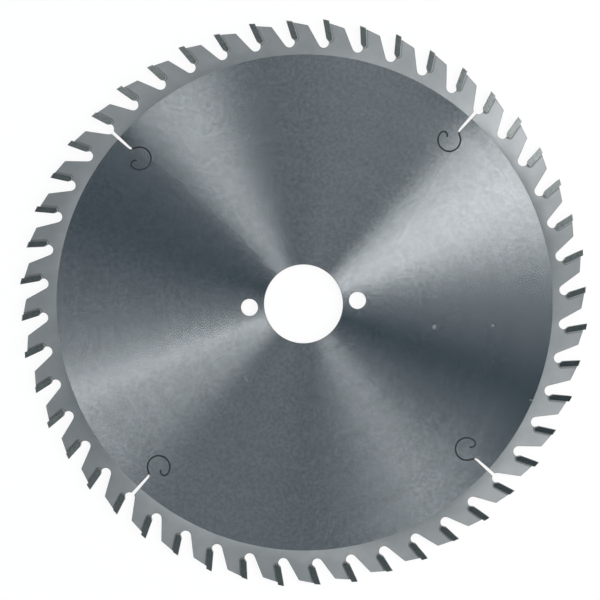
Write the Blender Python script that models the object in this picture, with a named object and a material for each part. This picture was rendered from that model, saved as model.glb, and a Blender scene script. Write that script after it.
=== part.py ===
"""A tungsten-carbide-tipped circular saw blade, lying flat: one steel plate and its brazed tips.

Metres, +Z up. The origin is the centre of the bore on the plate's middle plane, the Z axis is the
blade's axis, and the two pin holes lie on the X axis. Seen from +Z the blade turns counter-clockwise.
"""

import math

import bmesh
import bpy
from mathutils import Matrix, Vector

MM = 0.001

# Blade as a whole
CUTTING_DIAMETER = 216.0 * MM
KERF = 2.8 * MM
PLATE_THICKNESS = 1.8 * MM
TOOTH_COUNT = 48

# Bore and pin holes
BORE_DIAMETER = 30.0 * MM
PIN_HOLE_COUNT = 2
PIN_HOLE_DIAMETER = 6.5 * MM
PIN_HOLE_WEB = 2.35 * MM  # steel left between the bore and a pin hole

# Carbide tip, measured down its face (length) and square to its face (thickness)
HOOK_ANGLE = math.radians(13.9)
TOP_RELIEF_ANGLE = math.radians(8.0)
TOP_BEVEL_ANGLE = math.radians(15.0)
RADIAL_CLEARANCE_ANGLE = math.radians(1.0)
TANGENTIAL_CLEARANCE_ANGLE = math.radians(1.0)
TIP_LENGTH = 8.5 * MM
TIP_THICKNESS = 2.15 * MM
TIP_TOE_LENGTH = 1.3 * MM  # the lower stretch of the face, ground back towards the gullet
TIP_TOE_RECESS = 0.75 * MM
TIP_HEEL_RADIUS = 0.6 * MM
BRAZE_GAP = 0.3 * MM

# Steel tooth behind the tip
SHOULDER_DROP = 2.0 * MM  # from the cutting edge down to the steel, along the seat's wall
BACK_SLOPE_ANGLE = math.radians(14.3)
BACK_CORNER_RADIUS = 0.5 * MM
FLANK_LEAN_ANGLE = math.radians(25.5)

# Gullet in front of each tooth
GULLET_RADIUS = 2.03 * MM
GULLET_LIP_ANGLE = math.radians(8.4)  # where the gullet's arc meets the seat's shelf

# Expansion slots, each bending into a thin curled cut
SLOT_COUNT = 4
SLOT_ANGLE = math.radians(44.35)  # first slot, from the line through the pin holes
SLOT_MOUTH_WIDTH = 1.32 * MM
SLOT_END_WIDTH = 0.86 * MM
SLOT_LENGTH = 8.2 * MM  # the straight stretch, from the gullet to the bend
SLOT_BEND_RADIUS = 2.2 * MM
CURL_KERF = 0.4 * MM
CURL_RADIUS = 4.3 * MM
CURL_OFFSET = 0.43 * MM  # the curl's centre lies this far ahead of the slot's line
CURL_END_ANGLE = math.radians(182.0)  # where the curl passes into its hook
CURL_HOOK_RADIUS = 1.48 * MM
CURL_HOOK_SWEEP = math.radians(165.0)

# Segments on curved stretches
BORE_SEGMENTS = 96
PIN_HOLE_SEGMENTS = 32
GULLET_STEP = math.radians(20.0)
BACK_CORNER_SEGMENTS = 3
HEEL_STEP = math.radians(30.0)
SLOT_BEND_STEP = math.radians(17.0)
CURL_STEP = math.radians(14.0)
CURL_HOOK_STEP = math.radians(26.0)
SMOOTH_BELOW = math.radians(40.0)

PITCH_ANGLE = 2.0 * math.pi / TOOTH_COUNT
FULL_TURN = 2.0 * math.pi

# A tooth's own frame: +Y outwards through the cutting edge, +X behind the face, +Z across the plate
CUTTING_EDGE = Vector((0.0, CUTTING_DIAMETER / 2.0))
DOWN_FACE = Vector((math.sin(HOOK_ANGLE), -math.cos(HOOK_ANGLE)))
BEHIND_FACE = Vector((math.cos(HOOK_ANGLE), math.sin(HOOK_ANGLE)))


def turned(point, angle):
    """A point turned counter-clockwise about the blade's axis."""
    return Matrix.Rotation(angle, 2) @ point


def on_circle(centre, radius, angle):
    return centre + radius * Vector((math.cos(angle), math.sin(angle)))


def arc(centre, radius, start, end, step):
    """Points along an arc from one angle to another, both ends included, about one step apart."""
    count = max(1, math.ceil(abs(end - start) / step))
    return [on_circle(centre, radius, start + (end - start) * i / count) for i in range(count + 1)]


def crossing(point_a, along_a, point_b, along_b):
    """The point where two straight lines cross."""
    gap = point_b - point_a
    span = along_a.cross(along_b)
    return point_a + along_a * (gap.cross(along_b) / span)


def from_edge(down, behind):
    """A point of the tooth, by its distance down the face and its distance behind the face."""
    return CUTTING_EDGE + DOWN_FACE * down + BEHIND_FACE * behind


def heel_round(clearance):
    """The rounding at the tip's heel, as (down, behind), from under the tip up to its back."""
    centre = Vector((TIP_LENGTH - TIP_HEEL_RADIUS, TIP_THICKNESS - TIP_HEEL_RADIUS))
    return arc(centre, TIP_HEEL_RADIUS + clearance, 0.0, math.pi / 2.0, HEEL_STEP)


# The seat that the tip is brazed into, and the gullet that follows from it
SEAT_WALL_DEPTH = TIP_THICKNESS + BRAZE_GAP
SEAT_SHELF_DROP = TIP_LENGTH + BRAZE_GAP
SHELF_LIP = from_edge(SEAT_SHELF_DROP, TIP_TOE_RECESS)
SEAT_ROUND = [from_edge(down, behind) for down, behind in heel_round(BRAZE_GAP)]
SHOULDER = from_edge(SHOULDER_DROP, SEAT_WALL_DEPTH)
GULLET_CENTRE = on_circle(SHELF_LIP, -GULLET_RADIUS, GULLET_LIP_ANGLE)
GULLET_LAG_ANGLE = math.atan2(GULLET_CENTRE.x, GULLET_CENTRE.y)


def tooth_back():
    """The steel tooth's outline from the shoulder over the back to the next gullet."""
    down_flank = Vector((math.sin(FLANK_LEAN_ANGLE), -math.cos(FLANK_LEAN_ANGLE)))
    down_back = Vector((math.cos(BACK_SLOPE_ANGLE), -math.sin(BACK_SLOPE_ANGLE)))
    next_gullet = turned(GULLET_CENTRE, -PITCH_ANGLE)
    flank_foot = on_circle(next_gullet, GULLET_RADIUS, math.pi + FLANK_LEAN_ANGLE)
    corner = crossing(SHOULDER, down_back, flank_foot, down_flank)
    turn = down_back.angle(down_flank)
    run_in = BACK_CORNER_RADIUS * math.tan(turn / 2.0)
    start = math.pi / 2.0 - BACK_SLOPE_ANGLE
    centre = corner - down_back * run_in - BACK_CORNER_RADIUS * Vector((math.cos(start), math.sin(start)))
    rounding = arc(centre, BACK_CORNER_RADIUS, start, start - turn, turn / BACK_CORNER_SEGMENTS)
    return [SHOULDER] + rounding


def curl_path():
    """The middle line of the slot's bend and the curl, as (point, half width), in the slot's own frame.

    There +Y runs outwards along the slot and +X to the side that the curl opens towards.
    """
    bend_centre = Vector((SLOT_BEND_RADIUS, GULLET_CENTRE.length - GULLET_RADIUS - SLOT_LENGTH))
    across = SLOT_BEND_RADIUS + CURL_OFFSET
    drop = math.sqrt((SLOT_BEND_RADIUS + CURL_RADIUS) ** 2 - across**2)
    curl_centre = bend_centre - Vector((across, drop))
    meeting = math.atan2(drop, across)  # the curl's direction to the point where the bend passes into it
    bend = arc(bend_centre, SLOT_BEND_RADIUS, math.pi, math.pi + meeting, SLOT_BEND_STEP)
    path = []
    for i, point in enumerate(bend):
        narrowed = i / (len(bend) - 1)
        path.append((point, (SLOT_END_WIDTH + (CURL_KERF - SLOT_END_WIDTH) * narrowed) / 2.0))
    hook_start = CURL_END_ANGLE - FULL_TURN
    hook_centre = on_circle(curl_centre, CURL_RADIUS - CURL_HOOK_RADIUS, hook_start)
    curl = arc(curl_centre, CURL_RADIUS, meeting, hook_start, CURL_STEP)
    hook = arc(hook_centre, CURL_HOOK_RADIUS, hook_start, hook_start - CURL_HOOK_SWEEP, CURL_HOOK_STEP)
    return path + [(point, CURL_KERF / 2.0) for point in curl[1:] + hook[1:]]


def slot_outline():
    """The walls of one slot and its curl, in the slot's own frame, from mouth to mouth."""
    path = curl_path()
    near, far = [], []
    for i, (point, half_width) in enumerate(path):
        before = path[max(i - 1, 0)][0]
        after = path[min(i + 1, len(path) - 1)][0]
        arriving = (point - before).normalized() if i else (after - point).normalized()
        leaving = (after - point).normalized() if after != point else arriving
        middle = (arriving + leaving).normalized()
        mitre = half_width / middle.dot(arriving)
        side = Vector((middle.y, -middle.x)) * mitre
        near.append(point + side)
        far.append(point - side)
    half_mouth = SLOT_MOUTH_WIDTH / 2.0
    mouth_height = GULLET_CENTRE.length - math.sqrt(GULLET_RADIUS**2 - half_mouth**2)
    near_mouth = Vector((-half_mouth, mouth_height))
    far_mouth = Vector((half_mouth, mouth_height))
    return [near_mouth] + near + far[::-1] + [far_mouth]


def gullet(slotted):
    """The gullet's arc in the tooth's frame, from the flank before it to the seat's shelf."""
    start = math.pi + FLANK_LEAN_ANGLE + PITCH_ANGLE
    end = FULL_TURN + GULLET_LIP_ANGLE
    if not slotted:
        return arc(GULLET_CENTRE, GULLET_RADIUS, start, end, GULLET_STEP)
    bottom = 1.5 * math.pi - GULLET_LAG_ANGLE
    half_mouth_angle = math.asin(SLOT_MOUTH_WIDTH / 2.0 / GULLET_RADIUS)
    first = arc(GULLET_CENTRE, GULLET_RADIUS, start, bottom - half_mouth_angle, GULLET_STEP)
    last = arc(GULLET_CENTRE, GULLET_RADIUS, bottom + half_mouth_angle, end, GULLET_STEP)
    walls = [turned(point, -GULLET_LAG_ANGLE) for point in slot_outline()]
    return first[:-1] + walls + last[1:]


def tooth_angle(index):
    """The turn that brings a tooth from +Y to its place. Teeth are numbered clockwise from the first slot."""
    return SLOT_ANGLE + GULLET_LAG_ANGLE - math.pi / 2.0 - index * PITCH_ANGLE


def plate_outline():
    """The plate's outer edge, clockwise, through every gullet, seat and tooth back."""
    slotted_teeth = {i * TOOTH_COUNT // SLOT_COUNT for i in range(SLOT_COUNT)}
    outline = []
    for index in range(TOOTH_COUNT):
        tooth = gullet(index in slotted_teeth) + SEAT_ROUND + tooth_back()
        outline += [turned(point, tooth_angle(index)) for point in tooth]
    return outline


def ring(centre, radius, segments):
    return [on_circle(centre, radius, FULL_TURN * i / segments) for i in range(segments)]


def principled(name, colour, roughness, metallic):
    material = bpy.data.materials.new(name)
    material.use_nodes = True
    shader = material.node_tree.nodes["Principled BSDF"]
    shader.inputs["Base Color"].default_value = (*colour, 1.0)
    shader.inputs["Roughness"].default_value = roughness
    shader.inputs["Metallic"].default_value = metallic
    return material


def mesh_from(name, bm, material):
    bmesh.ops.recalc_face_normals(bm, faces=bm.faces)
    mesh = bpy.data.meshes.new(name)
    bm.to_mesh(mesh)
    bm.free()
    mesh.materials.append(material)
    mesh.shade_smooth()
    mesh.set_sharp_from_angle(angle=SMOOTH_BELOW)
    return mesh


def add_object(name, mesh, turn=0.0):
    obj = bpy.data.objects.new(name, mesh)
    obj.rotation_euler.z = turn
    bpy.context.scene.collection.objects.link(obj)
    return obj


def plate_mesh():
    """The plate: its outline and holes filled on the lower face, then raised by the thickness."""
    pin_circle_radius = BORE_DIAMETER / 2.0 + PIN_HOLE_WEB + PIN_HOLE_DIAMETER / 2.0
    loops = [plate_outline(), ring(Vector((0.0, 0.0)), BORE_DIAMETER / 2.0, BORE_SEGMENTS)]
    for i in range(PIN_HOLE_COUNT):
        centre = on_circle(Vector((0.0, 0.0)), pin_circle_radius, FULL_TURN * i / PIN_HOLE_COUNT)
        loops.append(ring(centre, PIN_HOLE_DIAMETER / 2.0, PIN_HOLE_SEGMENTS))

    bm = bmesh.new()
    edges = []
    for loop in loops:
        verts = [bm.verts.new((point.x, point.y, -PLATE_THICKNESS / 2.0)) for point in loop]
        edges += [bm.edges.new((verts[i - 1], verts[i])) for i in range(len(verts))]
    bmesh.ops.triangle_fill(bm, edges=edges, use_beauty=True, normal=(0.0, 0.0, 1.0))
    raised = bmesh.ops.extrude_face_region(bm, geom=bm.faces[:])
    upper = [item for item in raised["geom"] if isinstance(item, bmesh.types.BMVert)]
    bmesh.ops.translate(bm, verts=upper, vec=(0.0, 0.0, PLATE_THICKNESS))
    steel = principled("ground_steel", (0.45, 0.47, 0.48), 0.32, 1.0)
    return mesh_from("plate", bm, steel)


def tip_half_width(down, behind):
    """Half the tip's width, which narrows down the face and towards the back for clearance."""
    narrowing = math.tan(RADIAL_CLEARANCE_ANGLE) * down + math.tan(TANGENTIAL_CLEARANCE_ANGLE) * behind
    return KERF / 2.0 - narrowing


def top_depth(behind, same_side):
    """How far down the tip its bevelled top lies on one side, at a distance behind the face.

    same_side is 1 on the side of the cutting point and -1 on the side that the bevel falls to.
    """
    relief = math.tan(TOP_RELIEF_ANGLE)
    bevel = math.tan(TOP_BEVEL_ANGLE)
    radial = math.tan(RADIAL_CLEARANCE_ANGLE)
    tangential = math.tan(TANGENTIAL_CLEARANCE_ANGLE)
    across = (1 - same_side) * KERF / 2.0 + same_side * tangential * behind
    fall = behind * (math.sin(HOOK_ANGLE) + relief * math.cos(HOOK_ANGLE)) + bevel * across
    rise = math.cos(HOOK_ANGLE) - relief * math.sin(HOOK_ANGLE) - bevel * same_side * radial
    return fall / rise


def tip_mesh(name, high_side, material):
    """One carbide tip in its tooth's frame. high_side is 1 for a cutting point towards +Z, else -1."""
    bm = bmesh.new()
    sides = []
    for side in (1, -1):
        same_side = side * high_side
        profile = (
            (top_depth(0.0, same_side), 0.0),
            (TIP_LENGTH - TIP_TOE_LENGTH, 0.0),
            (TIP_LENGTH, TIP_TOE_RECESS),
            *heel_round(0.0),
            (top_depth(TIP_THICKNESS, same_side), TIP_THICKNESS),
        )
        corners = []
        for down, behind in profile:
            place = from_edge(down, behind)
            corners.append(bm.verts.new((place.x, place.y, side * tip_half_width(down, behind))))
        sides.append(corners)
    upper, lower = sides
    bm.faces.new(upper)
    bm.faces.new(lower[::-1])
    for i in range(len(upper)):
        bm.faces.new((upper[i - 1], lower[i - 1], lower[i], upper[i]))
    return mesh_from(name, bm, material)


def main():
    for obj in list(bpy.data.objects):
        bpy.data.objects.remove(obj)
    add_object("plate", plate_mesh())
    carbide = principled("tungsten_carbide", (0.16, 0.17, 0.17), 0.38, 1.0)
    lower_point = tip_mesh("tip_lower_point", -1, carbide)
    upper_point = tip_mesh("tip_upper_point", 1, carbide)
    for index in range(TOOTH_COUNT):
        mesh = upper_point if index % 2 else lower_point
        add_object(f"tip_{index + 1:02d}", mesh, tooth_angle(index))


main()
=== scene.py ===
"""The looks of a carbide-tipped circular saw blade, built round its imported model.

Metres, +Z up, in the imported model's own frame: the origin is the bore's centre on the plate's middle
plane and +Z is the upper face. The blade lies flat on a pale floor and the camera looks down on it.
"""

import math

import bmesh
import bpy
from mathutils import Euler, Matrix, Vector
from mathutils.geometry import delaunay_2d_cdt


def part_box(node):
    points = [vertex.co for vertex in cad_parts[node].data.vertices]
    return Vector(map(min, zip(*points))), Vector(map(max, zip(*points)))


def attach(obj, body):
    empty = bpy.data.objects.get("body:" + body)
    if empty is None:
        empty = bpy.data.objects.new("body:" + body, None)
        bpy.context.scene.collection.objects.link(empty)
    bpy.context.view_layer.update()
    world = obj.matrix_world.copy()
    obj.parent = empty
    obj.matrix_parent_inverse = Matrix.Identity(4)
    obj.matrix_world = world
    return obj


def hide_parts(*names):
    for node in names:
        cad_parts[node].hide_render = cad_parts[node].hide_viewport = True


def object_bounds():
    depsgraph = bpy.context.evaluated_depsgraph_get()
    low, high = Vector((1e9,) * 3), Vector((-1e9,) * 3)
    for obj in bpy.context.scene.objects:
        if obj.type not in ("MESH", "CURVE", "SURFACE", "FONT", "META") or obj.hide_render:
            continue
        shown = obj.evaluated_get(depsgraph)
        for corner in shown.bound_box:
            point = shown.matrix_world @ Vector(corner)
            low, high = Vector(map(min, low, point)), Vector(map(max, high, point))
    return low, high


MM = 0.001
FULL_TURN = 2.0 * math.pi

# Camera: almost straight above the bore, turned a little in the picture
CAMERA_DISTANCE = 560.0 * MM
CAMERA_LENS_MM = 88.23
CAMERA_TILT = math.radians(1.30)
CAMERA_LEAN = math.radians(0.33)
CAMERA_ROLL = math.radians(3.72)
CAMERA_SHIFT = (-0.0058, 0.0065)

# Lamps: azimuth counter-clockwise from the picture's right and height above the horizon, both seen from
# the bore and in degrees, then the two sizes in metres, the roll in degrees and the power
LAMPS = (
    dict(name="key_lamp", azimuth=14.4, height=43.7, across=1.198, along=0.087, roll=77.1, watts=1.39),
    dict(name="side_lamp", azimuth=124.2, height=66.7, across=0.255, along=0.167, roll=-71.7, watts=0.52),
    dict(name="upper_lamp", azimuth=71.2, height=41.6, across=1.136, along=1.136, roll=-48.1, watts=3.46),
    dict(name="lower_lamp", azimuth=304.2, height=32.7, across=0.972, along=0.937, roll=50.8, watts=6.61),
    dict(name="right_lamp", azimuth=1.6, height=31.8, across=0.579, along=0.611, roll=34.6, watts=4.48),
    dict(name="back_lamp", azimuth=229.7, height=57.2, across=1.144, along=1.080, roll=-23.3, watts=1.04),
    dict(name="left_lamp", azimuth=203.8, height=63.4, across=0.059, along=0.283, roll=-6.2, watts=0.18),
    dict(name="near_lamp", azimuth=38.1, height=61.9, across=0.078, along=0.781, roll=16.8, watts=1.14),
)
LAMP_DISTANCE = 1.1

# World: pale up to a low height all round, as white walls are, and dim above it
WALL_COLOUR = (1.0, 1.0, 1.0)
WALL_TOP = math.sin(math.radians(12.0))
CEILING_EDGE = math.sin(math.radians(22.0))
CEILING_COLOUR = (0.0, 0.040, 0.064)

# Floor
FLOOR_SIZE = 24.0
FLOOR_COLOUR = (0.92, 0.92, 0.92)
FLOOR_GRAIN_SHADE = 0.97
FLOOR_GRAIN_SIZE = 2.5 * MM
FLOOR_GLOW = 0.92
FLOOR_MATT_SHARE = 0.10

# Plate: the ground disc lies a little lower than the matt rim round it
GROUND_RADIUS = 94.36 * MM
GROUND_CENTRE = Vector((0.388, 0.180)) * MM
GROUND_DEPTH = 0.03 * MM
GROUND_RUN_OUT = 0.25 * MM
GROUND_SEGMENTS = 360
EDGE_BREAK = 0.13 * MM

# Smeared grinding beside the slots, darkened with painted shade: strongest at one angle round the axis, and
# gone where the cosine of the turn from there has fallen to the least one
SLOT_COUNT = 4
SLOT_ANGLE = math.radians(44.35)
SLOT_SPACING = FULL_TURN / SLOT_COUNT
SMEAR_AND_SHADE_WIDTH = 7.5 * MM
SMEAR_AND_SHADE_START = 84.0 * MM
SMEAR_AND_SHADE_MIDDLE = math.radians(115.0)
SMEAR_AND_SHADE_LEAST_COSINE = 0.2
# Painted shade: the near-black colour of the smeared grinding beside the upper slots
SMEAR_AND_SHADE_COLOUR = (0.085, 0.088, 0.09)
SMEAR_AND_SHADE_SHARE = 0.8

# Specks and a scratch on the disc: place, half sizes, turn in degrees and strength
MARK_COLOUR = (0.47, 0.48, 0.485)
MARK_ROUGHNESS_RISE = 0.3
MARKS = (
    (Vector((49.1, -12.0)) * MM, (0.75 * MM, 0.95 * MM), -10.0, 0.85),
    (Vector((71.4, -12.8)) * MM, (0.60 * MM, 0.60 * MM), 0.0, 0.4),
    (Vector((-23.7, -27.1)) * MM, (0.35 * MM, 1.40 * MM), 35.0, 0.35),
    (Vector((84.0, -42.1)) * MM, (0.80 * MM, 0.35 * MM), -10.0, 1.0),
)

# Surfaces: colours from dark to light, and roughness from smooth to rough
GROUND_STEEL_COLOURS = ((0.35, 0.36, 0.371), (0.44, 0.455, 0.469))
GROUND_STEEL_ROUGHNESS = (0.24, 0.255)
MATT_STEEL_COLOURS = ((0.385, 0.397, 0.402), (0.45, 0.463, 0.468))
MATT_STEEL_ROUGHNESS = (0.39, 0.45)
CUT_STEEL_COLOURS = ((0.072, 0.08, 0.085), (0.14, 0.152, 0.158))
CUT_STEEL_ROUGHNESS = (0.45, 0.6)
CARBIDE_COLOURS = ((0.165, 0.182, 0.178), (0.25, 0.27, 0.262))
CARBIDE_ROUGHNESS = (0.23, 0.26)
SOLDER_COLOURS = ((0.185, 0.19, 0.192), (0.285, 0.292, 0.292))
SOLDER_ROUGHNESS = (0.50, 0.68)
# Painted shade: the near-black filling stands in for the shadow seen through the open curled cuts
CURL_SHADE_COLOURS = ((0.008, 0.013, 0.016), (0.024, 0.034, 0.04))
CURL_SHADE_ROUGHNESS = (0.5, 0.7)

# How far highlights are drawn out, and their turn from the tangent as a share of a full turn: the disc and
# the tips are ground round the axis, and the rim's finish lies at a slant to that
GROUND_STEEL_DRAW = 1.0
MATT_STEEL_DRAW = 0.93
CARBIDE_DRAW = 0.45
ROUND_TURN = 0.25
RIM_FINISH_SLANT = math.radians(42.3)

# Disc: fine and broad rings of grinding with their streaks' lengths in radians, a mottle over them, and the
# blotches that break up the smears and their painted shade
FINE_RING = (0.35 * MM, 0.02)
BROAD_RING = (3.5 * MM, 0.5)
FINE_RING_SHARE = 0.6
MOTTLE_SIZE = 1.2 * MM
MOTTLE_SHARE = 0.75
BLOTCH_SIZE = 1.0 * MM

# Rim, walls, tips, braze and the dark filling that stands in for shade: the sizes of their grain, and how
# high it stands
RIM_GRAIN_SIZE = 0.28 * MM
RIM_GRAIN_HEIGHT = 0.012 * MM
RIM_CLOUD_SIZE = 6.0 * MM
CUT_LINE_WIDTH = 0.15 * MM
CUT_LINE_HEIGHT = 0.01 * MM
CUT_LINE_DRAW = 0.12
CARBIDE_LINE_WIDTH = 0.16 * MM
CARBIDE_LINE_HEIGHT = 0.002 * MM
CARBIDE_LINE_DRAW = 0.06
CARBIDE_LINE_SHARE = 0.6
CARBIDE_CLOUD_SIZE = 0.9 * MM
SOLDER_RIPPLE_SIZE = 0.6 * MM
SOLDER_RIPPLE_HEIGHT = 0.03 * MM
CURL_SHADE_GRAIN_SIZE = 0.25 * MM
CURL_SHADE_GRAIN_HEIGHT = 0.02 * MM

# Ranges of noise that the colours and the roughnesses run over
COLOUR_RANGE = (0.35, 0.65)
ROUGHNESS_RANGE = (0.3, 0.7)

# Meshes: what counts as one height, one place or one plane, and where shading breaks
SAME_HEIGHT = 0.01 * MM
SAME_PLACE = 0.001 * MM
PLACE_DIGITS = 7
SAME_PLANE = math.radians(0.5)
TRIANGULATION_MARGIN = 1e-8
MITRE_LIMIT = 0.3
PLATE_SHARP_ANGLE = math.radians(35.0)
BRAZE_SHARP_ANGLE = math.radians(40.0)

# The plate's finishes, by their places in its list of materials
GROUND, MATT, CUT = range(3)

# Tooth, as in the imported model: distances down the tip's face and behind it
HOOK_ANGLE = math.radians(13.9)
TIP_LENGTH = 8.5 * MM
TIP_THICKNESS = 2.15 * MM
TIP_TOE_RECESS = 0.75 * MM
TIP_HEEL_RADIUS = 0.6 * MM
SHOULDER_DROP = 2.0 * MM
BACK_SLOPE_ANGLE = math.radians(14.3)
SEAT_GAP = 0.3 * MM
TIP_EDGE_BREAK = 0.05 * MM

# Braze: a film in the seat's gap, with a hollow fillet up the tip's side
BRAZE_OVERLAP = 0.02 * MM
BRAZE_FOOT = 0.4 * MM
BRAZE_CLIMB = 0.16 * MM
BRAZE_FOOT_HEIGHT = 0.012 * MM
BRAZE_END_MARGIN = 0.03 * MM
BRAZE_FILLET_STEPS = 4
BRAZE_HEEL_STEPS = 4

# Dark filling of the curled cuts, a solid stand-in for the shade seen through them
FILLING_TOP_RADIUS = 88.1 * MM
FILLING_RECESS = 0.06 * MM
FILLING_OVERLAP = 0.01 * MM

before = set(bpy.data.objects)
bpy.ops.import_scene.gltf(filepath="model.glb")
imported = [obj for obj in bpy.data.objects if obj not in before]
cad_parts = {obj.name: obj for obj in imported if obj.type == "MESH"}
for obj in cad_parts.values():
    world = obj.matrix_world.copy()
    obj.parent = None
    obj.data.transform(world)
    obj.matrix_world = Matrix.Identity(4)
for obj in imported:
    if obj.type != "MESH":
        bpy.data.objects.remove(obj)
cad_box = [list(corner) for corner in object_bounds()]
plate_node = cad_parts["plate"]
tip_nodes = {name: part for name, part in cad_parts.items() if name.startswith("tip_")}
plate_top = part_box("plate")[1].z
floor_height = cad_box[0][2]
cutting_radius = max(vertex.co.to_2d().length for vertex in tip_nodes["tip_01"].data.vertices)


# Node helpers

def node(tree, kind, inputs=None, **settings):
    """Adds a shader node. Inputs are numbers, tuples or other nodes' outputs, by name or number."""
    made = tree.nodes.new(kind)
    for name, value in settings.items():
        setattr(made, name, value)
    for key, value in (inputs or {}).items():
        if isinstance(value, bpy.types.NodeSocket):
            tree.links.new(value, made.inputs[key])
        else:
            made.inputs[key].default_value = value
    return made


def calc(tree, operation, first, second=0.0, third=0.0):
    inputs = {0: first, 1: second, 2: third}
    return node(tree, "ShaderNodeMath", inputs, operation=operation).outputs[0]


def vector_calc(tree, operation, first, second=(0.0, 0.0, 0.0), output=0):
    made = node(tree, "ShaderNodeVectorMath", {0: first, 1: second}, operation=operation)
    return made.outputs[output]


def scaled(tree, vector, factor):
    inputs = {0: vector, "Scale": factor}
    return node(tree, "ShaderNodeVectorMath", inputs, operation="SCALE").outputs[0]


def turned(tree, vector, angle):
    """The vector, turned round the blade's axis."""
    inputs = {"Vector": vector, "Angle": angle}
    return node(tree, "ShaderNodeVectorRotate", inputs, rotation_type="Z_AXIS").outputs[0]


def noise(tree, vector, grain_size, detail=2.0, roughness=0.5):
    """Noise whose coarsest grain has about the size given."""
    inputs = {"Vector": vector, "Scale": 1.0 / grain_size, "Detail": detail, "Roughness": roughness}
    return node(tree, "ShaderNodeTexNoise", inputs).outputs[0]


def spread(tree, value, low, high, out_low, out_high):
    """The value, stretched from one range to another and clamped."""
    inputs = {"Value": value, 1: low, 2: high, 3: out_low, 4: out_high}
    return node(tree, "ShaderNodeMapRange", inputs).outputs[0]


def blend(tree, factor, first, second):
    made = tree.nodes.new("ShaderNodeMix")
    made.data_type = "RGBA"
    for socket, value in ((0, factor), (6, first), (7, second)):
        if isinstance(value, bpy.types.NodeSocket):
            tree.links.new(value, made.inputs[socket])
        elif socket:
            made.inputs[socket].default_value = (*value, 1.0)
        else:
            made.inputs[socket].default_value = value
    return made.outputs[2]


def new_material(name):
    material = bpy.data.materials.new(name)
    material.use_nodes = True
    tree = material.node_tree
    return material, tree, tree.nodes["Principled BSDF"]


def mixed(tree, share, first, second):
    """A share of the first value and the rest of the second."""
    return calc(tree, "MULTIPLY_ADD", first, share, calc(tree, "MULTIPLY", second, 1.0 - share))


def shaded(tree, shade, colours):
    """A colour that runs from dark to light with the shade."""
    return blend(tree, spread(tree, shade, *COLOUR_RANGE, 0.0, 1.0), *colours)


def roughened(tree, shade, roughness):
    """A roughness that rises with the shade."""
    return spread(tree, shade, *ROUGHNESS_RANGE, *roughness)


def cover(tree, shader, colour, roughness):
    """Gives the shader its colour and its roughness."""
    tree.links.new(colour, shader.inputs["Base Color"])
    tree.links.new(roughness, shader.inputs["Roughness"])


def make_metal(shader, draw=0.0, turn=0.0):
    """A metal whose highlights are drawn out, turned from the tangent by a share of a full turn."""
    shader.inputs["Metallic"].default_value = 1.0
    shader.inputs["Anisotropic"].default_value = draw
    shader.inputs["Anisotropic Rotation"].default_value = turn


def tangent_round_axis(tree, shader):
    tangent = node(tree, "ShaderNodeTangent", direction_type="RADIAL", axis="Z")
    tree.links.new(tangent.outputs[0], shader.inputs["Tangent"])


def bump(tree, shader, height, distance):
    made = node(tree, "ShaderNodeBump", {"Height": height, "Distance": distance, "Strength": 1.0})
    tree.links.new(made.outputs[0], shader.inputs["Normal"])


def blade_coordinates(tree):
    """A surface point's place, and its distance and direction from the blade's axis.

    Every piece has its origin at the bore's centre, so its own coordinates are enough.
    """
    place = node(tree, "ShaderNodeTexCoord").outputs["Object"]
    flat = vector_calc(tree, "MULTIPLY", place, (1.0, 1.0, 0.0))
    radius = vector_calc(tree, "LENGTH", flat, output=1)
    direction = vector_calc(tree, "NORMALIZE", flat)
    return place, radius, direction


def ring_noise(tree, radius, direction, ring_width, streak_turn, detail=2.0):
    """Noise drawn out round the axis: rings of one width, broken into streaks of about one angle."""
    along = scaled(tree, direction, 1.0 / streak_turn)
    across = calc(tree, "MULTIPLY", radius, 1.0 / ring_width)
    offset = node(tree, "ShaderNodeCombineXYZ", {2: across}).outputs[0]
    return noise(tree, vector_calc(tree, "ADD", along, offset), grain_size=1.0, detail=detail)


def smear_and_painted_shade(tree, place, radius):
    """How much the grinding is smeared and darkened with painted shade: most at a slot's clockwise side,
    fading round and inwards.

    The painted shade lies beside the slots on one side of the blade, and those on the other have none.
    """
    parts = node(tree, "ShaderNodeSeparateXYZ", {0: place})
    angle = calc(tree, "ARCTAN2", parts.outputs[1], parts.outputs[0])
    past_slot = calc(tree, "FLOORED_MODULO", calc(tree, "SUBTRACT", SLOT_ANGLE, angle), SLOT_SPACING)
    beside = spread(tree, calc(tree, "MULTIPLY", past_slot, radius), 0.0, SMEAR_AND_SHADE_WIDTH, 1.0, 0.0)
    outward = spread(tree, radius, SMEAR_AND_SHADE_START, GROUND_RADIUS, 0.0, 1.0)
    from_middle = calc(tree, "COSINE", calc(tree, "SUBTRACT", angle, SMEAR_AND_SHADE_MIDDLE))
    strength = spread(tree, from_middle, SMEAR_AND_SHADE_LEAST_COSINE, 1.0, 0.0, 1.0)
    return calc(tree, "MULTIPLY", strength, calc(tree, "MULTIPLY", beside, outward))


def surface_marks(tree, place):
    """Small oval specks and scratches, full at their middles."""
    total = 0.0
    for centre, (half_width, half_length), turn, strength in MARKS:
        offset = vector_calc(tree, "SUBTRACT", place, (*centre, plate_top))
        across = turned(tree, offset, -math.radians(turn))
        shares = vector_calc(tree, "MULTIPLY", across, (1.0 / half_width, 1.0 / half_length, 1.0 / MM))
        outward = vector_calc(tree, "LENGTH", shares, output=1)
        total = calc(tree, "ADD", total, spread(tree, outward, 0.5, 1.0, strength, 0.0))
    return total


# Materials

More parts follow.
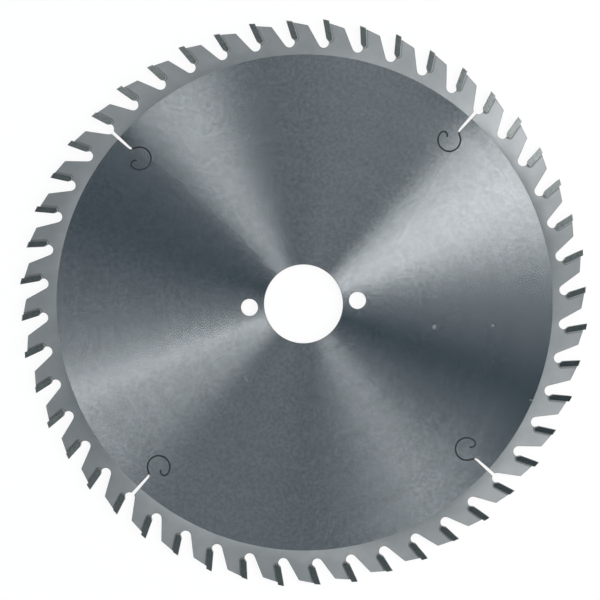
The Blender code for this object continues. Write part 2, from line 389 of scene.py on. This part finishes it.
def ground_steel():
    """The disc: circular grinding, which draws each lamp out into a pair of bright wedges."""
    material, tree, shader = new_material("ground_steel")
    place, radius, direction = blade_coordinates(tree)
    fine = ring_noise(tree, radius, direction, *FINE_RING, detail=3.0)
    broad = ring_noise(tree, radius, direction, *BROAD_RING)
    streaks = mixed(tree, FINE_RING_SHARE, fine, broad)
    mottle = noise(tree, place, MOTTLE_SIZE, roughness=0.6)
    colour = shaded(tree, mixed(tree, MOTTLE_SHARE, mottle, streaks), GROUND_STEEL_COLOURS)
    blotches = spread(tree, noise(tree, place, BLOTCH_SIZE), 0.35, 0.55, 0.5, 1.0)
    smear_and_shade = calc(tree, "MULTIPLY", smear_and_painted_shade(tree, place, radius), blotches)
    # Painted shade: the colour darkens the smeared grinding beside the upper slots
    colour = blend(tree, calc(tree, "MULTIPLY", smear_and_shade, SMEAR_AND_SHADE_SHARE), colour, SMEAR_AND_SHADE_COLOUR)
    marks = surface_marks(tree, place)
    colour = blend(tree, marks, colour, MARK_COLOUR)
    roughness = roughened(tree, streaks, GROUND_STEEL_ROUGHNESS)
    cover(tree, shader, colour, calc(tree, "MULTIPLY_ADD", marks, MARK_ROUGHNESS_RISE, roughness))
    make_metal(shader, GROUND_STEEL_DRAW, ROUND_TURN)
    tangent_round_axis(tree, shader)
    return material


def matt_steel():
    """The rim: an even matt grain, with the soft highlights of a finish at a slant."""
    material, tree, shader = new_material("matt_steel")
    place = blade_coordinates(tree)[0]
    grain = noise(tree, place, RIM_GRAIN_SIZE, roughness=0.7)
    cloud = noise(tree, place, RIM_CLOUD_SIZE)
    colour = shaded(tree, mixed(tree, 0.5, grain, cloud), MATT_STEEL_COLOURS)
    cover(tree, shader, colour, roughened(tree, grain, MATT_STEEL_ROUGHNESS))
    make_metal(shader, MATT_STEEL_DRAW, ROUND_TURN - RIM_FINISH_SLANT / FULL_TURN)
    tangent_round_axis(tree, shader)
    bump(tree, shader, grain, RIM_GRAIN_HEIGHT)
    return material


def cut_steel():
    """The plate's walls: laser-cut, dark with oxide and lined across the thickness."""
    material, tree, shader = new_material("cut_steel")
    place = blade_coordinates(tree)[0]
    lined = vector_calc(tree, "MULTIPLY", place, (1.0, 1.0, CUT_LINE_DRAW))
    lines = noise(tree, lined, CUT_LINE_WIDTH, roughness=0.6)
    colour = shaded(tree, lines, CUT_STEEL_COLOURS)
    cover(tree, shader, colour, roughened(tree, lines, CUT_STEEL_ROUGHNESS))
    make_metal(shader)
    bump(tree, shader, lines, CUT_LINE_HEIGHT)
    return material


def ground_carbide():
    """The tips: dark sintered carbide, ground round the axis as the disc is."""
    material, tree, shader = new_material("ground_carbide")
    place, radius, direction = blade_coordinates(tree)
    upright = turned(tree, place, -HOOK_ANGLE)
    lined = vector_calc(tree, "MULTIPLY", upright, (1.0, CARBIDE_LINE_DRAW, 1.0))
    lines = noise(tree, lined, CARBIDE_LINE_WIDTH, roughness=0.6)
    cloud = noise(tree, place, CARBIDE_CLOUD_SIZE)
    colour = shaded(tree, mixed(tree, CARBIDE_LINE_SHARE, lines, cloud), CARBIDE_COLOURS)
    cover(tree, shader, colour, roughened(tree, lines, CARBIDE_ROUGHNESS))
    make_metal(shader, CARBIDE_DRAW, ROUND_TURN)
    round_axis = vector_calc(tree, "CROSS_PRODUCT", (0.0, 0.0, 1.0), direction)
    spaces = dict(convert_from="OBJECT", convert_to="WORLD")
    tangent = node(tree, "ShaderNodeVectorTransform", {0: round_axis}, **spaces)
    tree.links.new(tangent.outputs[0], shader.inputs["Tangent"])
    bump(tree, shader, lines, CARBIDE_LINE_HEIGHT)
    return material


def silver_solder():
    """The braze: a dull, slightly rippled film."""
    material, tree, shader = new_material("silver_solder")
    place = blade_coordinates(tree)[0]
    ripple = noise(tree, place, SOLDER_RIPPLE_SIZE, 3.0, 0.6)
    colour = shaded(tree, ripple, SOLDER_COLOURS)
    cover(tree, shader, colour, roughened(tree, ripple, SOLDER_ROUGHNESS))
    make_metal(shader)
    bump(tree, shader, ripple, SOLDER_RIPPLE_HEIGHT)
    return material


def painted_shade_filling():
    """A near-black filling of the curled cuts: painted shade, standing in for the shadow seen through them.
    """
    material, tree, shader = new_material("painted_shade_filling")
    place = blade_coordinates(tree)[0]
    grain = noise(tree, place, CURL_SHADE_GRAIN_SIZE, roughness=0.6)
    cover(tree, shader, shaded(tree, grain, CURL_SHADE_COLOURS), roughened(tree, grain, CURL_SHADE_ROUGHNESS))
    bump(tree, shader, grain, CURL_SHADE_GRAIN_HEIGHT)
    return material


# Plate

def cap_loops(mesh, height):
    """The closed outlines of the mesh's face at one height, each with the metal on its left."""
    points = {}
    sides = set()
    for polygon in mesh.polygons:
        corners = [mesh.vertices[i].co for i in polygon.vertices]
        if any(abs(corner.z - height) > SAME_HEIGHT for corner in corners):
            continue
        keys = [(round(corner.x, PLACE_DIGITS), round(corner.y, PLACE_DIGITS)) for corner in corners]
        for i, key in enumerate(keys):
            points[key] = corners[i].to_2d()
            sides.add((keys[i - 1], key))
    onward = {start: end for start, end in sorted(sides) if (end, start) not in sides}
    loops = []
    while onward:
        start = next(iter(onward))
        loop = [start]
        while (key := onward.pop(loop[-1])) != start:
            loop.append(key)
        loops.append([points[key] for key in loop])
    return sorted(loops, key=len, reverse=True)


def inset(loop, distance):
    """The loop, moved to its left by a distance with mitred corners."""
    moved = []
    for i, point in enumerate(loop):
        arriving = (point - loop[i - 1]).normalized()
        leaving = (loop[(i + 1) % len(loop)] - point).normalized()
        first = Vector((-arriving.y, arriving.x))
        second = Vector((-leaving.y, leaving.x))
        stretch = distance / max(MITRE_LIMIT, 1.0 + first.dot(second))
        moved.append(point + (first + second) * stretch)
    return moved


def circle(centre, radius, segments):
    turns = [FULL_TURN * i / segments for i in range(segments)]
    return [centre + radius * Vector((math.cos(turn), math.sin(turn))) for turn in turns]


def upper_face(loops):
    """The plate's flat upper face as triangles, each with its finish.

    Its rings are the outlines, the first of them the rim and the others the holes, then the same outlines
    moved in by the broken edge, and last the ground disc and the end of the disc's run-out.
    """
    outlines = loops + [inset(loop, EDGE_BREAK) for loop in loops]
    for radius in (GROUND_RADIUS, GROUND_RADIUS + GROUND_RUN_OUT):
        outlines.append(circle(GROUND_CENTRE, radius, GROUND_SEGMENTS))
    count = len(loops)
    rim, holes = 0, set(range(1, count))
    flat_rim, flat_holes = count, set(range(count + 1, 2 * count))
    disc = 2 * count
    points, rings = [], []
    for index, outline in enumerate(outlines):
        ring = list(range(len(points), len(points) + len(outline)))
        rings.append(ring[::-1] if index in holes | flat_holes else ring)
        points += outline
    triangulated = delaunay_2d_cdt(points, [], rings, 1, TRIANGULATION_MARGIN)
    places, triangles, rings_round = triangulated[0], triangulated[2], triangulated[5]

    bm = bmesh.new()
    verts = [bm.verts.new((place.x, place.y, plate_top)) for place in places]
    for triangle, inside in zip(triangles, rings_round):
        inside = set(inside)
        if rim not in inside or inside & holes:
            continue
        face = bm.faces.new([verts[i] for i in triangle])
        if flat_rim not in inside or inside & flat_holes:
            face.material_index = CUT
        elif disc in inside:
            face.material_index = GROUND
        else:
            face.material_index = MATT
    bmesh.ops.delete(bm, geom=[vert for vert in bm.verts if not vert.link_faces], context="VERTS")
    return bm


def shape_face(bm):
    """Lowers the ground disc and breaks the outer edges."""
    for vert in bm.verts:
        outside = ((vert.co.to_2d() - GROUND_CENTRE).length - GROUND_RADIUS) / GROUND_RUN_OUT
        vert.co.z -= GROUND_DEPTH * (1.0 - min(1.0, max(0.0, outside)))
        if vert.is_boundary:
            vert.co.z -= EDGE_BREAK
    for face in bm.faces:
        face.normal_update()
        if face.normal.z < 0.0:
            face.normal_flip()


def add_lower_half(bm):
    """Mirrors the upper face downwards and joins the two by walls."""
    rim = [edge for edge in bm.edges if edge.is_boundary]
    copied = bmesh.ops.duplicate(bm, geom=bm.verts[:] + bm.edges[:] + bm.faces[:])
    below = dict(copied["vert_map"].items())
    for item in copied["geom"]:
        if isinstance(item, bmesh.types.BMVert):
            item.co.z = -item.co.z
        elif isinstance(item, bmesh.types.BMFace):
            item.normal_flip()
    for edge in rim:
        first, second = edge.verts
        wall = bm.faces.new((first, second, below[second], below[first]))
        wall.material_index = CUT
        wall.smooth = True
    bmesh.ops.recalc_face_normals(bm, faces=bm.faces)


def to_mesh(bm, name, sharp_angle=None):
    mesh = bpy.data.meshes.new(name)
    bm.to_mesh(mesh)
    bm.free()
    if sharp_angle is not None:
        mesh.set_sharp_from_angle(angle=sharp_angle)
    return mesh


def plate_mesh(loops):
    """The plate with broken edges, and the ground disc a little below the rim on both faces."""
    bm = upper_face(loops)
    shape_face(bm)
    add_lower_half(bm)
    return to_mesh(bm, "blade_plate", PLATE_SHARP_ANGLE)


# Teeth

def from_edge(down, behind, height):
    """A point of the tooth in its own frame: +Y outwards through the cutting edge, +X behind the face."""
    x = math.sin(HOOK_ANGLE) * down + math.cos(HOOK_ANGLE) * behind
    y = cutting_radius - math.cos(HOOK_ANGLE) * down + math.sin(HOOK_ANGLE) * behind
    return Vector((x, y, height))


def tooth_turn(tip):
    """The turn from a tooth's own frame to its place, from its cutting point, the farthest out."""
    point = max((vertex.co for vertex in tip.data.vertices), key=lambda co: co.to_2d().length)
    return math.atan2(point.y, point.x) - math.pi / 2.0


def carbide_mesh(tip, turn):
    """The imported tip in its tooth's own frame, with its edges broken."""
    bm = bmesh.new()
    bm.from_mesh(tip.data)
    bmesh.ops.remove_doubles(bm, verts=bm.verts, dist=SAME_PLACE)
    bmesh.ops.dissolve_limit(bm, angle_limit=SAME_PLANE, verts=bm.verts, edges=bm.edges)
    bmesh.ops.rotate(bm, verts=bm.verts, matrix=Matrix.Rotation(-turn, 3, "Z"))
    bmesh.ops.bevel(bm, geom=bm.edges[:], offset=TIP_EDGE_BREAK, segments=2, profile=0.5, affect="EDGES")
    return to_mesh(bm, "carbide")


def braze_section():
    """Half of the film's section, from the tip's wall to the foot: (distance from the tip, height)."""
    reach = SEAT_GAP + BRAZE_FOOT
    section = []
    for i in range(BRAZE_FILLET_STEPS + 1):
        turn = math.pi / 2.0 * i / BRAZE_FILLET_STEPS
        across = -BRAZE_OVERLAP + (reach + BRAZE_OVERLAP) * (1.0 - math.cos(turn))
        rise = BRAZE_FOOT_HEIGHT + BRAZE_CLIMB * (1.0 - math.sin(turn))
        section.append((across, plate_top + rise))
    section.append((reach, plate_top - BRAZE_OVERLAP))
    section.append((SEAT_GAP + BRAZE_OVERLAP, plate_top - EDGE_BREAK - BRAZE_OVERLAP))
    return section


def braze_mesh():
    """The film down the tip's back, round its heel and under it, as one closed sweep.

    Its outer end slopes with the tooth's back, so that the film stops at the steel's edge.
    """
    half = braze_section()
    section = half + [(across, -height) for across, height in reversed(half)]
    fall = math.tan(HOOK_ANGLE + BACK_SLOPE_ANGLE)
    top = SHOULDER_DROP - SEAT_GAP * fall + BRAZE_END_MARGIN
    stations = [(top, TIP_THICKNESS, Vector((fall, 1.0)))]
    for i in range(BRAZE_HEEL_STEPS + 1):
        turn = math.pi / 2.0 * (1.0 - i / BRAZE_HEEL_STEPS)
        outward = Vector((math.cos(turn), math.sin(turn)))
        down = TIP_LENGTH - TIP_HEEL_RADIUS * (1.0 - outward.x)
        behind = TIP_THICKNESS - TIP_HEEL_RADIUS * (1.0 - outward.y)
        stations.append((down, behind, outward))
    stations.append((TIP_LENGTH, TIP_TOE_RECESS + BRAZE_END_MARGIN, Vector((1.0, 0.0))))
    bm = bmesh.new()
    rings = []
    for down, behind, outward in stations:
        ring = []
        for across, height in section:
            place = from_edge(down + outward.x * across, behind + outward.y * across, height)
            ring.append(bm.verts.new(place))
        rings.append(ring)
    for first, second in zip(rings, rings[1:]):
        for i in range(len(section)):
            face = bm.faces.new((first[i - 1], first[i], second[i], second[i - 1]))
            face.smooth = True
    bm.faces.new(rings[0])
    bm.faces.new(rings[-1][::-1])
    bmesh.ops.recalc_face_normals(bm, faces=bm.faces)
    return to_mesh(bm, "braze", BRAZE_SHARP_ANGLE)


# Fillings: dark pieces of painted shade in the curled cuts

def inner_runs(loop, limit):
    """The stretches of a loop that lie closer to the axis than a limit."""
    inside = [point.length < limit for point in loop]
    start = inside.index(False)
    runs = []
    for i in range(start, start + len(loop)):
        here = i % len(loop)
        if inside[here]:
            if not inside[here - 1]:
                runs.append([])
            runs[-1].append(loop[here])
    return runs


def filling_mesh(run):
    """The dark filling of one curled cut, painted shade, which ends a little short of both faces."""
    outline = inset(run, FILLING_OVERLAP)
    height = plate_top - GROUND_DEPTH - FILLING_RECESS
    bm = bmesh.new()
    verts = [bm.verts.new((point.x, point.y, -height)) for point in outline]
    edges = [bm.edges.new((verts[i - 1], verts[i])) for i in range(len(verts))]
    bmesh.ops.triangle_fill(bm, edges=edges, use_beauty=True, normal=(0.0, 0.0, 1.0))
    raised = bmesh.ops.extrude_face_region(bm, geom=bm.faces[:])
    upper = [item for item in raised["geom"] if isinstance(item, bmesh.types.BMVert)]
    bmesh.ops.translate(bm, verts=upper, vec=(0.0, 0.0, 2.0 * height))
    bmesh.ops.recalc_face_normals(bm, faces=bm.faces)
    return to_mesh(bm, "curl_filling")


# Scene

def add_object(name, data, materials=()):
    obj = bpy.data.objects.new(name, data)
    bpy.context.scene.collection.objects.link(obj)
    for material in materials:
        obj.data.materials.append(material)
    return obj


def add_piece(name, mesh, turn=0.0):
    piece = add_object(name, mesh)
    piece.rotation_euler.z = turn
    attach(piece, "root")
    return piece


def add_lamp(name, azimuth, height, across, along, roll, watts):
    """An oblong soft lamp turned to the blade. Its roll lifts the side that lies farther round."""
    data = bpy.data.lights.new(name, "AREA")
    data.shape = "RECTANGLE"
    data.size = across
    data.size_y = along
    data.energy = watts
    lamp = add_object(name, data)
    turn = math.radians(azimuth) - CAMERA_ROLL
    lean = math.radians(90.0 - height)
    aim = Euler((lean, 0.0, turn + math.pi / 2.0)).to_matrix()
    aim = aim @ Matrix.Rotation(math.radians(roll), 3, "Z")
    lamp.rotation_euler = aim.to_euler()
    lamp.location = aim @ Vector((0.0, 0.0, LAMP_DISTANCE))
    return lamp


def add_camera():
    data = bpy.data.cameras.new("camera")
    data.lens = CAMERA_LENS_MM
    data.shift_x, data.shift_y = CAMERA_SHIFT
    camera = add_object("camera", data)
    camera.rotation_mode = "YXZ"
    camera.rotation_euler = Euler((-CAMERA_TILT, CAMERA_LEAN, -CAMERA_ROLL), "YXZ")
    camera.location = camera.rotation_euler.to_matrix() @ Vector((0.0, 0.0, CAMERA_DISTANCE))
    bpy.context.scene.camera = camera


def floor_material():
    """Pale floor. Rays from the camera and from glossy surfaces see it as white, with a faint shadow."""
    material, tree, shader = new_material("pale_floor")
    tree.nodes.remove(shader)
    path = node(tree, "ShaderNodeLightPath")
    seen = calc(tree, "MAXIMUM", path.outputs["Is Camera Ray"], path.outputs["Is Glossy Ray"])
    seen = calc(tree, "MAXIMUM", seen, path.outputs["Is Transmission Ray"])
    place = node(tree, "ShaderNodeTexCoord").outputs["Object"]
    grain = noise(tree, place, FLOOR_GRAIN_SIZE)
    pale = tuple(FLOOR_GRAIN_SHADE * channel for channel in FLOOR_COLOUR)
    matt_share = calc(tree, "MULTIPLY_ADD", seen, FLOOR_MATT_SHARE - 1.0, 1.0)
    matt = node(tree, "ShaderNodeBsdfDiffuse")
    tree.links.new(scaled(tree, blend(tree, grain, pale, FLOOR_COLOUR), matt_share), matt.inputs["Color"])
    white = node(tree, "ShaderNodeEmission", {"Strength": calc(tree, "MULTIPLY", seen, FLOOR_GLOW)})
    both = node(tree, "ShaderNodeAddShader", {0: matt.outputs[0], 1: white.outputs[0]})
    tree.links.new(both.outputs[0], tree.nodes["Material Output"].inputs["Surface"])
    return material


def add_floor():
    mesh = bpy.data.meshes.new("floor")
    half = FLOOR_SIZE / 2.0
    square = ((-half, -half), (half, -half), (half, half), (-half, half))
    corners = [(x, y, floor_height) for x, y in square]
    mesh.from_pydata(corners, [], [(0, 1, 2, 3)])
    add_object("floor", mesh, [floor_material()])


def add_world():
    """Pale walls up to a low height, blending into a dim ceiling."""
    world = bpy.data.worlds.new("studio")
    bpy.context.scene.world = world
    world.use_nodes = True
    tree = world.node_tree
    direction = node(tree, "ShaderNodeTexCoord").outputs["Generated"]
    height = node(tree, "ShaderNodeSeparateXYZ", {0: direction}).outputs[2]
    above = spread(tree, height, WALL_TOP, CEILING_EDGE, 0.0, 1.0)
    colour = blend(tree, above, WALL_COLOUR, CEILING_COLOUR)
    tree.links.new(colour, tree.nodes["Background"].inputs["Color"])


bpy.context.scene.view_settings.view_transform = "Standard"
add_world()
for lamp in LAMPS:
    add_lamp(**lamp)
add_camera()
add_floor()

loops = cap_loops(plate_node.data, plate_top)
plate = add_piece("blade_plate", plate_mesh(loops))
finishes = {GROUND: ground_steel(), MATT: matt_steel(), CUT: cut_steel()}
for index in sorted(finishes):
    plate.data.materials.append(finishes[index])
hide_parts("plate")

carbide, solder, curl_shade = ground_carbide(), silver_solder(), painted_shade_filling()
carbide_meshes = []
for name in ("tip_01", "tip_02"):
    mesh = carbide_mesh(tip_nodes[name], tooth_turn(tip_nodes[name]))
    mesh.materials.append(carbide)
    carbide_meshes.append(mesh)
film = braze_mesh()
film.materials.append(solder)
for index, name in enumerate(sorted(tip_nodes)):
    number = name.removeprefix("tip_")
    turn = tooth_turn(tip_nodes[name])
    tip = add_piece(f"carbide_{number}", carbide_meshes[index % 2], turn)
    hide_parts(name)
    add_piece(f"braze_{number}", film, turn)

# Painted shade: a dark filling in each curled cut, where the open cut would show only shadow
for number, run in enumerate(inner_runs(loops[0], FILLING_TOP_RADIUS), 1):
    filling = filling_mesh(run)
    filling.materials.append(curl_shade)
    add_piece(f"curl_filling_{number}", filling)

bpy.context.view_layer.update()
